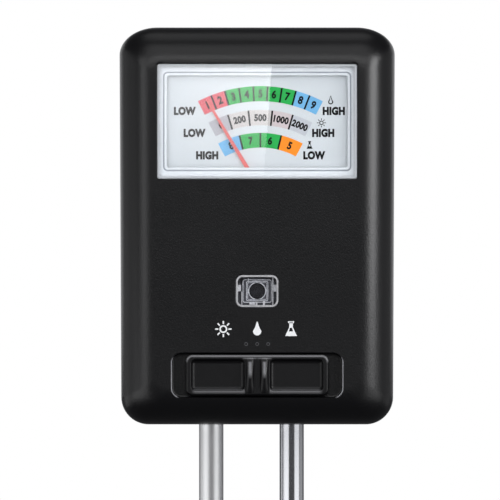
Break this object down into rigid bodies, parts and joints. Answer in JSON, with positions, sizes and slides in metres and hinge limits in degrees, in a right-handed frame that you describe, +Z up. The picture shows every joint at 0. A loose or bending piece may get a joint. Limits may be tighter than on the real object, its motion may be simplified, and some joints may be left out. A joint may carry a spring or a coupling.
{
  "type": "soil moisture meter",
  "caption": "Hand-held garden soil meter: flat black housing with an arc-scale dial, light window and slide switch, on a pair of metal probes.",
  "frame": {"origin": "on the underside of the housing, midway across it and on the plane where the two shells meet, which is where the soil comes to when the probes are pushed fully in", "axes": "+Z up along the probes, from their tips to the housing; -Y out of the dial; +X to the right as the dial is read"},
  "size_m": [0.0652, 0.0372, 0.289],
  "materials": {
    "black_abs": "fine matte spark texture",
    "screw_steel": "zinc plated",
    "clear_plastic": "polished clear plastic",
    "pale_plastic": "smooth",
    "dial_white": "printed, satin",
    "meter_plastic": "moulded",
    "soft_iron": "plated",
    "magnet": "ground",
    "brass": "turned",
    "spring_bronze": "rolled strip",
    "lead_insulation": "smooth",
    "dark_cell": "dark lens",
    "board_green": "solder mask",
    "pad_gold": "plated",
    "resistor_body": "lacquered",
    "satin_alloy": "satin",
    "polished_alloy": "polished",
    "clamp_plastic": "moulded",
    "pointer_red": "smooth",
    "staff_steel": "polished",
    "former_alloy": "rolled",
    "copper_wire": "enamelled wire",
    "carriage_nylon": "moulded"
  },
  "bodies": {
    "housing": {"front_cover": "black_abs", "rear_cover": "black_abs", "case_screws": "screw_steel", "dial_screws": "screw_steel", "meter_screws": "screw_steel", "board_screws": "screw_steel", "clamp_screws": "screw_steel", "meter_window": "clear_plastic", "light_window": "clear_plastic", "cell_holder": "clear_plastic", "dial_bezel": "pale_plastic", "dial_plate": "dial_white", "meter_base": "meter_plastic", "meter_yoke": "soft_iron", "core_bracket": "soft_iron", "core_magnet": "magnet", "front_bridge": "brass", "rear_bridge": "brass", "jewel_screws": "brass", "pointer_stops": "brass", "meter_terminals": "brass", "probe_tags": "brass", "hairspring_front": "spring_bronze", "hairspring_rear": "spring_bronze", "meter_leads": "lead_insulation", "probe_leads": "lead_insulation", "light_cell": "dark_cell", "circuit_board": "board_green", "contact_pads": "pad_gold", "resistors": "resistor_body", "probe_left": "satin_alloy", "probe_right": "polished_alloy", "probe_clamp": "clamp_plastic"},
    "pointer": {"pointer_needle": "pointer_red", "pointer_staff": "staff_steel", "coil_frame": "former_alloy", "coil_winding": "copper_wire", "balance_weights": "brass"},
    "slide": {"switch_knob": "black_abs", "switch_carriage": "carriage_nylon", "wiper_contacts": "spring_bronze", "detent_spring": "spring_bronze"}
  },
  "joints": [
    {"name": "pointer_swing", "type": "hinge", "parent": "housing", "child": "pointer", "pos_m": [0.00076, 0, 0.0555], "axis": [0, 1, 0], "range_deg": [-4, 66], "stiffness_Nm_per_rad": 0.00001},
    {"name": "switch_slide", "type": "slide", "parent": "housing", "child": "slide", "axis": [1, 0, 0], "range_m": [-0.00261, 0.00261], "deforming": ["detent_spring"]}
  ]
}
